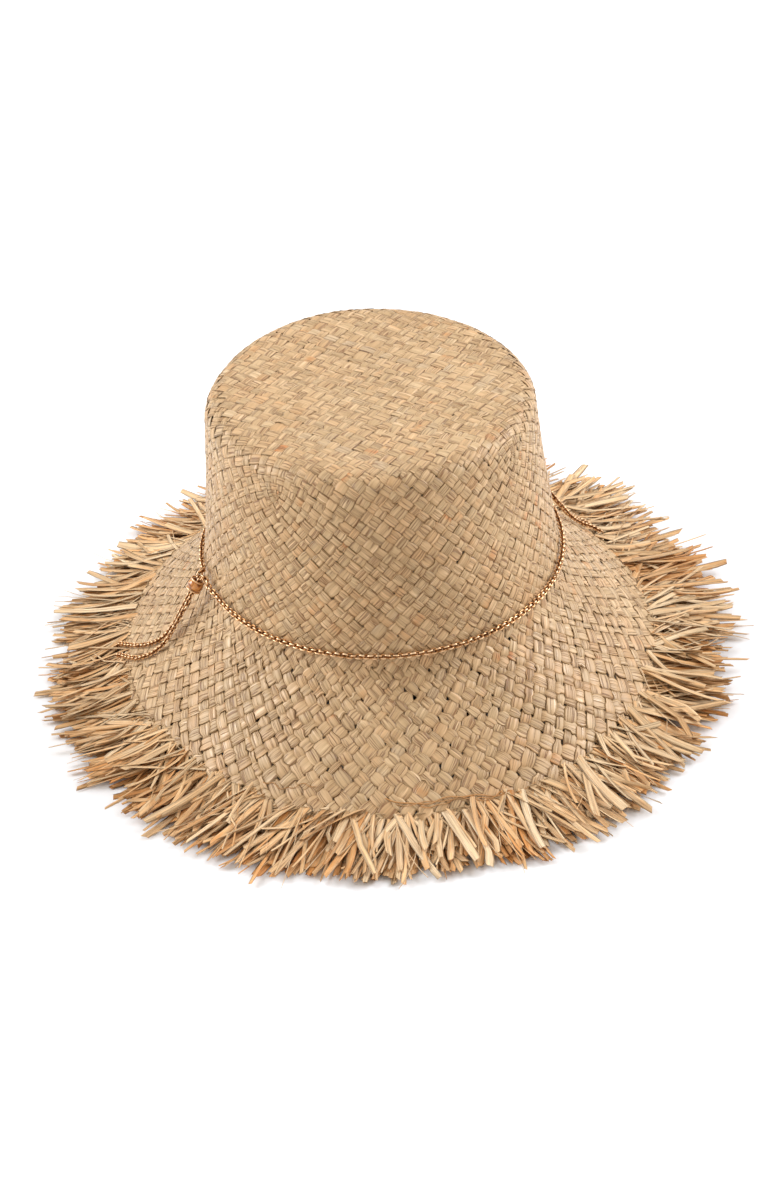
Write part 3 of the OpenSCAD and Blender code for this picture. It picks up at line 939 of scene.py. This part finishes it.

# Straw ends come in four kinds, from the lowest up: a dense layer of wide ribbons, paler ribbons
# on it, ribbons that cross over in the direction of the plait, and thin wisps. `per` is how many
# each strand has. Half-width, own_way (share of the plait's own direction), long (share of the
# reach) and depth (of the root, from the plait's face) are ranges. `layer` is the bottom of the
# kind's half of the heap, which goes from 0 to 1, and `root` how much of a strand the roots fill.
# Their hue and light carry painted shade and light: the lower kinds are oranger, like shade deep in the
# fringe, and the lowest kind is lighter, to lift its shadow.
KINDS = [
    Kind(
        per=4, half_width=(1.3, 2.4), own_way=(0.0, 0.15), spread=0.05, long=(0.56, 0.84), hue=0.7,
        light=0.64, depth=(-1.3, -0.7), root=1.0, layer=0.0, bend=0.06, kinked=0.0, to_tuft=0.25, turned=0,
    ),
    Kind(
        per=4, half_width=(0.45, 1.9), own_way=(0.0, 0.35), spread=0.08, long=(0.74, 1.05), hue=0.58,
        light=0.58, depth=(-0.7, 0.0), root=1.0, layer=0.2, bend=0.1, kinked=0.1, to_tuft=1.0, turned=1,
    ),
    Kind(
        per=3, half_width=(0.4, 2.3), own_way=(0.2, 1.0), spread=0.26, long=(0.5, 1.08), hue=0.38,
        light=0.5, depth=(-0.1, 0.5), root=0.7, layer=0.5, bend=0.16, kinked=0.35, to_tuft=1.0, turned=1,
    ),
    Kind(
        per=1, half_width=(0.14, 0.3), own_way=(0.0, 1.0), spread=0.4, long=(0.6, 1.12), hue=0.35,
        light=0.55, depth=(-0.1, 0.5), root=0.7, layer=0.5, bend=0.25, kinked=0.3, to_tuft=1.0, turned=1,
    ),
]  # fmt: skip
REACH = 42.0  # how far the straw ends go out from the brim's edge
RIGHT_SLOT, LEFT_SLOT = (24.5, 1.5), (169.9, 1.8)  # degrees: where the chin chain goes through
BACK_HALF = 24.5, 170.0  # degrees

# Loose fibres: start and sweep in degrees, distance from the edge, climb, half-width.
FIBRES = (-13, 26, 10, -5, 0.34), (-11, 30, 9, -7, 0.2), (-6, 17, 7, -2, 0.22), (-40, 12, 8, 5, 0.2)
FIBRE_STEPS = 40


def stray_fibres(heap):
    """A few split fibres that lie loose on the front of the brim."""
    rng = np.random.default_rng(77)
    k = np.linspace(0, 1, FIBRE_STEPS)
    y, z = np.array([-1.0, 0.0, 1.0, 0.0]), np.array([0.0, 0.16, 0.0, -0.1])
    for start, sweep, high, climb, w in FIBRES:
        phi = np.radians(start + sweep * k)
        t = T_EDGE - high - climb * k + 1.2 * np.sin(k * 9 + start) + 0.5 * np.sin(k * 23)
        centre, normal = surface(phi, t, lift=0.95 + 0.5 * np.sin(k * 14 + high) ** 2)
        side = unit(np.cross(unit(np.gradient(centre, axis=0)), normal))
        uv = stacked((y + 1) / 4, (k * 12)[:, None])
        tone = np.zeros((FIBRE_STEPS, 4, 4)) + np.array([0.75, 0.42, rng.random(), 1.0])
        heap.add(swept(centre, side, normal, y * w, z), tube_quads(1, FIBRE_STEPS, 4), uv, tone)


def straw_ends(front, back, kind, rng, centre, tangent, normal, width):
    """The straw ends of one kind, at the ends of one family of strands."""
    n = len(centre) * kind.per
    pick = np.repeat(np.arange(len(centre)), kind.per)
    out = oval_out(centre[pick])
    across = np.cross(tangent[pick], normal[pick])
    offset = (np.tile(np.arange(kind.per), len(centre)) + 0.5) / kind.per * 2 - 1 + rng.normal(0, 0.12, n)
    root = centre[pick] + across * (offset * width[pick] * kind.root)[:, None]
    root = root + normal[pick] * rng.uniform(*kind.depth, n)[:, None]
    side_way = np.stack([-out[:, 1], out[:, 0]], 1)
    lean = np.arctan2((tangent[pick][:, :2] * side_way).sum(1), (tangent[pick][:, :2] * out[:, :2]).sum(1))
    t = np.arctan2(root[:, 1] / edge_b, root[:, 0] / edge_a)
    tuft = np.argmin(np.abs(np.angle(np.exp(1j * (t[:, None] - TUFTS[None, :])))), 1)
    to_tuft = np.angle(np.exp(1j * (TUFTS[tuft] - t))) * (edge_a + edge_b) / 2
    back_right = smoothstep(((out[:, 0] + out[:, 1]) / 1.414 - 0.1) / 0.7)
    reach = REACH + np.where(out[:, 0] > 0, -0.5, -2.5) * out[:, 0]
    reach = reach + np.where(out[:, 1] < 0, 2.0, 1.5) * out[:, 1]
    reach = (reach + 2.5 * back_right) * TUFT_REACH[tuft]
    length = (reach * rng.uniform(*kind.long, n) + 2.0) * np.where(rng.random(n) < 0.1, 0.75, 1.0)
    heading = lean * rng.uniform(*kind.own_way, n) + rng.normal(0, kind.spread, n)
    pull = np.arctan2(to_tuft * rng.uniform(0.5, 0.95, n) * kind.to_tuft, reach)
    heading = heading + TUFT_WAY[tuft] * kind.to_tuft + pull
    w = rng.uniform(*kind.half_width, n)
    layer = rng.random(n) * 0.5 + kind.layer
    tip_z = 0.4 + 3.0 * layer * rng.random(n) + TUFT_RISE[tuft] * layer
    tip_z = tip_z + back_right * rng.uniform(3.0, 8.0, n) * (0.3 + 0.7 * layer)
    rise = np.where(rng.random(n) < 0.25, rng.uniform(0, 4.5, n), rng.uniform(-0.5, 1.2, n)) * layer
    bend = rng.normal(0, kind.bend, n)
    kinked = rng.random(n) < kind.kinked
    kink = np.where(kinked, rng.normal(0, 0.35, n), 0.0)
    kink_at = rng.uniform(0.35, 0.85, n)
    turned = np.where(rng.random(n) < 0.2, 1.0, 0.3) * kind.turned
    roll = rng.normal(0, 0.16, n)
    twist = rng.normal(0, 0.8, n) * turned
    # painted shade: the lower a straw lies in the heap, the oranger and darker it is
    hue = kind.hue + TUFT_HUE[tuft] - 0.2 * (layer - 0.5) + 0.12 * rng.normal(0, 1, n)
    light = kind.light + 0.09 * rng.normal(0, 1, n) + 0.1 * (layer - 0.5)
    each = (
        root, out, heading, length, w, mixed(9.0, 30.0, layer), tip_z, rise, bend, kink, kink_at, roll,
        twist, np.clip(hue, 0, 1), np.clip(light, 0, 1),
    )  # fmt: skip
    angle = (np.degrees(t) + 360) % 360
    slot = np.any([np.abs(angle - middle) < half for middle, half in (RIGHT_SLOT, LEFT_SLOT)], 0)
    behind = (angle > BACK_HALF[0]) & (angle < BACK_HALF[1])
    for heap, keep in ((back, behind & ~slot), (front, ~behind & ~slot)):
        strips(heap, rng, *(value[keep] for value in each))


def fringe():
    front, back = Heap(), Heap()
    for *ends, family in ENDS:
        for order, kind in enumerate(KINDS):
            rng = np.random.default_rng(51 + family + 10 * order)
            straw_ends(front, back, kind, rng, *ends)
    stray_fibres(front)
    return front.mesh("fringe_front_straws"), back.mesh("fringe_back_straws")


front_mesh, back_mesh = fringe()
fringe_front = linked("fringe_front_straws", front_mesh, raw_straw)
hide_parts("fringe_front")
fringe_back = linked("fringe_back_straws", back_mesh, raw_straw)
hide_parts("fringe_back")


# ---------------------------------------------------------------- crown chain
RING_Z, RING_STEPS = 64.6, 60
CHAIN_GAP = 0.3  # between the chain and the straw


def crown_oval(z):
    """Half-width and half-length of the crown's outside at a height."""
    k = (z - foot_z) / (top_z - SHOULDER - foot_z)
    return mixed(foot_a, tip_a + SHOULDER, k), mixed(foot_b, tip_b + SHOULDER, k)


def ring_route(lead_in, arc, lead_out):
    a, b = (x + CHAIN_GAP + CHAIN / 2 for x in crown_oval(RING_Z))
    t = np.radians(np.linspace(*arc, RING_STEPS))
    ring = np.stack([a * np.cos(t), b * np.sin(t), np.full(RING_STEPS, RING_Z)], 1)
    return smooth_route(np.vstack([lead_in, ring, lead_out]), ease=1.0)


crown_routes = {
    "crown_chain_front": ring_route(
        [
            (-91.8, -10.8, 66.8), (-91.27, -10.76, 67.65), (-90.6, -11.6, 68.6), (-89.6, -13.6, 68.2),
            (-88.9, -16, 66.8), (-88.3, -18.5, 65.3),
        ],
        (193, 375),
        [
            (84.9, 31, 65.3), (85.1, 33.6, 66.8), (85.4, 36.1, 68.2), (85.3, 37.6, 68.7),
            (85.5, 38.43, 67.65), (86, 38.6, 66.8),
        ],
    ),
    "crown_chain_back": ring_route(
        [
            (-92, -8, 66.8), (-91.47, -7.96, 67.65), (-90.9, -7.1, 68.6), (-89.9, -5.1, 68.2),
            (-89.3, -2.6, 66.8), (-88.9, 0, 65.3),
        ],
        (176, 29),
        [
            (79.2, 47.6, 65.3), (80.6, 45.6, 66.8), (82.3, 43.1, 68.2), (83.6, 41.6, 68.7),
            (84.5, 41.03, 67.65), (85, 41.2, 66.8),
        ],
    ),
}  # fmt: skip
for seed, (name, route) in enumerate(crown_routes.items()):
    links = linked(name + "_links", chain_mesh(name + "_links", route, 60 + seed, 1.15), metal)
    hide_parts(name)


# ---------------------------------------------------------------- sweatband, label and bow
BAND_Z, BAND_H, BAND_T = foot_z + 1, 28.0, 1.0
BAND_INSET = STRAW + 0.3
LABEL_Z, LABEL_H, LABEL_T = BAND_Z + 7, 16.0, 0.45


def wall(z, inset, t):
    """A point inside the crown at angle t."""
    a, b = (x - inset for x in crown_oval(z))
    return stacked(a * np.cos(t), b * np.sin(t), z + 0 * t)


def ribbon_wall(name, z, height, inset, thick, start, stop, cols, wave):
    """A ribbon lying against the inside of the crown, with rounded edges."""
    up = np.linspace(0.25, height - 0.25, 8)
    h = np.concatenate([up, [height], up[::-1], [0.0]])
    d = np.concatenate([np.zeros(8), [0.5], np.ones(8), [0.5]]) * thick
    t = np.linspace(start, stop, cols)[:, None]
    ripple = wave * (np.sin(t * 23) + np.sin(t * 41 + 1)) * (0.3 + 0.7 * (h / height)[None])
    points = wall(z + h[None], inset + d[None] + np.abs(ripple) * 0.5, t)
    along = arc_length(wall(z + height / 2, inset, t[:, 0]))
    uv = stacked(h[None], along[:, None])
    heap = Heap()
    heap.add(points, tube_quads(1, cols, len(h)), uv)
    if stop - start < 6:  # not all the way round, so the two ends are closed
        ends = np.array([[i, i + 1, 15 - i, 16 - i] for i in range(7)])
        for row in (0, cols - 1):
            heap.add(points[row], ends, uv[row])
    return heap.mesh(name), float(along[-1])


band_mesh, band_length = ribbon_wall(
    "sweatband_ribbon", BAND_Z, BAND_H, BAND_INSET, BAND_T, 0, TAU, 361, 0.12
)
band = linked("sweatband_ribbon", band_mesh, ribbon)
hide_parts("sweatband")
label_mesh, _ = ribbon_wall(
    "size_label_cloth", LABEL_Z, LABEL_H, BAND_INSET + BAND_T + 0.15, LABEL_T,
    np.radians(44), np.radians(62), 40, 0.0,
)  # fmt: skip
label = linked("size_label_cloth", label_mesh, label_cloth)
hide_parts("size_label")


def bow_strip(heap, path, wide, thick=0.35):
    """A flat ribbon along `path`, its width upright."""
    tangent = unit(np.gradient(path, axis=0))
    up = unit(np.array([0, 0, 1.0]) - tangent * tangent[:, 2:3])
    out = np.cross(tangent, up)
    y = np.array([-1, -0.6, 0, 0.6, 1, 0.6, 0, -0.6])
    z = np.array([0.0, 0.5, 0.5, 0.5, 0.0, -0.5, -0.5, -0.5]) * thick
    y_wide = y * wide[:, None] / 2
    uv = stacked(y_wide, arc_length(path)[:, None])
    points = swept(path, up, out, y_wide, z + 0.25 * y**2)
    heap.add(points, tube_quads(1, len(path), len(y)), uv)


def bow():
    heap = Heap()
    z = BAND_Z + 17
    y = wall(z, BAND_INSET + BAND_T, np.radians(90))[1] - 1.3
    k = np.linspace(0, 1, 40)
    turn = TAU * k
    tail_y = np.array([-1, 0, 1, 0]) * mixed(1.6, 2.6, smoothstep(k * 2))[:, None] / 2
    tail_z = np.array([0.0, 0.18, 0.0, -0.18])
    for side in (-1, 1):
        x = side * (5.4 - 4.9 * np.cos(turn))
        depth = 0.95 * np.sin(turn) + 0.5
        path = np.stack([x, y - depth, z + 0.5 + 0.06 * np.abs(x)], 1)
        bow_strip(heap, path, mixed(2.2, 5.2, smoothstep(np.abs(x) / 7)))
        tail = np.stack([side * (0.6 + 4.6 * k), y - 0.1 - 0.7 * np.sin(k * 3), z - 0.8 - 8.2 * k], 1)
        across = np.array([-0.85 * side, 0, -0.5])
        points = swept(tail, across, np.array([0, -1.0, 0]), tail_y, tail_z)
        uv = stacked(tail_y, (9.4 * k)[:, None])
        heap.add(points, tube_quads(1, len(k), 4), uv)
    knot = np.stack([1.5 * np.cos(turn), y - 0.6 + 1.1 * np.sin(turn), z + 0 * k], 1)
    bow_strip(heap, knot, 3.6 + 0.3 * np.sin(turn * 2), 0.4)
    return heap.mesh("sweatband_bow_ribbon")


bow_piece = linked("sweatband_bow_ribbon", bow(), ribbon)
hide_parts("sweatband_bow")


# ---------------------------------------------------------------- thread
def twisted(name, path, out, radius, turns):
    """Two-ply thread along each row of `path`."""
    rows, steps = path.shape[:2]
    tangent = unit(np.gradient(path, axis=1))
    out = unit(out - tangent * (out * tangent).sum(-1, keepdims=True))
    side = np.cross(tangent, out)
    w = TAU * np.arange(6) / 6
    heap = Heap()
    for ply in (0, np.pi):
        turn = (TAU * turns * np.linspace(0, 1, steps) + ply)[None, :, None]
        centre = path + (out * np.cos(turn) + side * np.sin(turn)) * radius * 0.5
        round_ = out[:, :, None] * np.cos(w)[:, None] + side[:, :, None] * np.sin(w)[:, None]
        heap.add(centre[:, :, None] + round_ * (radius * 0.55), tube_quads(rows, steps, 6))
    return heap.mesh(name)


EDGE_STITCHES, HEM_STITCHES = 90, 84
EDGE_HALF, HEM_HALF = 2.6 / 146, 1.8 / 93  # half a stitch, as an angle
TACKS = [222, 257, 292, 327, 70, 105, 140]  # degrees round the crown
k = np.linspace(-1, 1, 13)[None]
phi = TAU * (np.arange(EDGE_STITCHES) + 0.5)[:, None] / EDGE_STITCHES
lift = 0.75 + 0.45 * (1 - k**2) - 0.5 * k**6 + 0 * phi
path, out = surface(phi + EDGE_HALF * k, T_EDGE - 3.2 + 0 * phi * k, lift=lift)
stitches = linked("edge_stitching_thread", twisted("edge_stitching_thread", path, out, 0.3, 3), straw_thread)
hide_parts("edge_stitching")

t = TAU * (np.arange(HEM_STITCHES) + 0.5)[:, None] / HEM_STITCHES
inset = BAND_INSET + BAND_T + 0.05 + 0.25 * (1 - k**2) - 0.4 * k**6
path = wall(BAND_Z + 3 + 0 * t * k, inset + 0 * t, t + HEM_HALF * k)
out = np.stack([-np.cos(t + 0 * k), -np.sin(t + 0 * k), 0 * t * k], -1)
hem = linked("sweatband_thread", twisted("sweatband_thread", path, out, 0.24, 3), cream_thread)
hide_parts("sweatband_stitching")

t = np.radians(TACKS)[:, None]
centre = wall(RING_Z, -CHAIN_GAP - CHAIN / 2, t)
away = unit(np.stack([np.cos(t) / foot_a, np.sin(t) / foot_b, 0 * t], -1))
turn = np.radians(np.linspace(-136, 136, 25))[None]
out = away * np.cos(turn)[..., None] + np.array([0, 0, 1.0]) * np.sin(turn)[..., None]
loops = twisted("chain_tack_threads", centre + out * 1.75, out, 0.27, 5)
tacks = linked("chain_tack_threads", loops, straw_thread)
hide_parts("chain_tacks")


# ---------------------------------------------------------------- beads
def lathe(name, centre, along, profile, sides=72):
    """A closed profile of radius and height turned round `along`."""
    x = unit(np.cross(along, [0.1, 0.9, 0.2]))
    y = np.cross(along, x)
    w = TAU * np.arange(sides + 1) / sides
    round_ = x * np.cos(w)[:, None] + y * np.sin(w)[:, None]
    points = centre + round_[:, None] * profile[None, :, :1] + along * profile[None, :, 1:]
    tone = np.zeros((sides + 1, len(profile), 4)) + np.array([0.72, 0.5, 0.5, 1.0])
    heap = Heap()
    heap.add(points, tube_quads(1, sides + 1, len(profile)), tone=tone)
    return heap.mesh(name)


BEAD_D, BEAD_L, BORE, RING_T, BEAD_START = 7.8, 4.4, 5.7, 0.9, 0.4
CORNER, CHAMFER = 0.2, 0.12  # the rounded rim, and the edge of the bore


def bead_profile():
    """A slice of a ball with a bore, its rims rounded; radius and height."""
    bore, half = BORE / 2, BEAD_L / 2
    face = np.linspace(-1, 1, 15) * (half - 0.22)
    corner = np.radians([0, 30, 60, 90])
    end = math.sqrt((BEAD_D / 2) ** 2 - half**2) - CORNER
    points = [(math.sqrt((BEAD_D / 2) ** 2 - x * x), x) for x in face]
    points += [(end + CORNER * math.cos(x), half - CORNER + CORNER * math.sin(x)) for x in corner[1:]]
    points += [(bore + CHAMFER, half), (bore, half - CHAMFER), (bore, 0), (bore, -half + CHAMFER)]
    points += [(bore + CHAMFER, -half)]
    points += [(end + CORNER * math.cos(x), -half + CORNER - CORNER * math.sin(x)) for x in corner[:0:-1]]
    return np.array(points)


w = TAU * np.arange(14) / 14
AXES = {
    "left": ((-91.9, -9.4, 66.8), (-107.5, -10.5, 42)),
    "right": ((85.5, 39.9, 66.8), (100.3, 45, 42)),
}
for which, (top_end, low_end) in AXES.items():
    along = unit(np.array(low_end) - np.array(top_end))
    centre = np.array(top_end) + along * (BEAD_START + 2 * RING_T + BEAD_L / 2)
    body = "slider_" + which
    part = lathe(f"bead_{which}_resin", centre, along, bead_profile())
    bead = linked(f"bead_{which}_resin", part, resin, body)
    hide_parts("bead_" + which)
    for end_way in (-1, 1):
        off = end_way * (BEAD_L + RING_T + 0.1) / 2
        radius = BORE / 2 + RING_T / 2 + RING_T / 2 * np.cos(w)
        section = np.stack([radius, off + RING_T / 2 * np.sin(w)], 1)
        part = lathe(f"ring_{which}_{end_way + 1}", centre, along, section)
        rings = linked(f"bead_{which}_ring_{'upper' if end_way < 0 else 'lower'}", part, metal, body)
        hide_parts(f"bead_{which}_rings")


# ---------------------------------------------------------------- floor and light
FLOOR, FLOOR_Z = 4.0, -0.0002
LIGHT_Z = 0.08  # the lights point at this height over the middle of the table


def add_floor():
    mesh = bpy.data.meshes.new("floor")
    corners = ((-1, -1), (1, -1), (1, 1), (-1, 1))
    mesh.from_pydata([(x * FLOOR, y * FLOOR, FLOOR_Z) for x, y in corners], [], [(0, 1, 2, 3)])
    m = Shade("floor")
    grain = m.noise(m.place(), 60.0, 3.0)
    m.finish(Base_Color=m.mix(grain, (0.86, 0.86, 0.86), (0.89, 0.89, 0.89)), Roughness=0.8)
    obj = bpy.data.objects.new("floor", mesh)
    scene.collection.objects.link(obj)
    mesh.materials.append(m.material)


def add_light(name, azimuth, elevation, distance, size, power, colour):
    a, e = math.radians(azimuth), math.radians(elevation)
    way = Vector((math.sin(a) * math.cos(e), -math.cos(a) * math.cos(e), math.sin(e)))
    data = bpy.data.lights.new(name, "AREA")
    data.shape, data.size, data.size_y = "RECTANGLE", size[0], size[1]
    data.energy, data.color = power, colour
    obj = bpy.data.objects.new(name, data)
    scene.collection.objects.link(obj)
    obj.location = way * distance + Vector((0, 0, LIGHT_Z))
    obj.rotation_mode = "QUATERNION"
    obj.rotation_quaternion = (-way).to_track_quat("-Z", "Y")


add_floor()
add_light("key_left", -105, 31, 1.6, (0.9, 0.9), 19.5, (0.94, 1.01, 1.11))
add_light("key_right", 95, 31, 1.6, (0.9, 0.9), 22, (0.94, 1.01, 1.12))
add_light("top_back", 180, 68, 1.7, (1.4, 1.0), 2, (0.85, 1.0, 1.2))
world = bpy.data.worlds.new("studio")
scene.world = world
world.use_nodes = True
background = world.node_tree.nodes["Background"].inputs
background[0].default_value, background[1].default_value = (1.0, 0.94, 0.87, 1.0), 0.79
scene.view_settings.view_transform = "Standard"
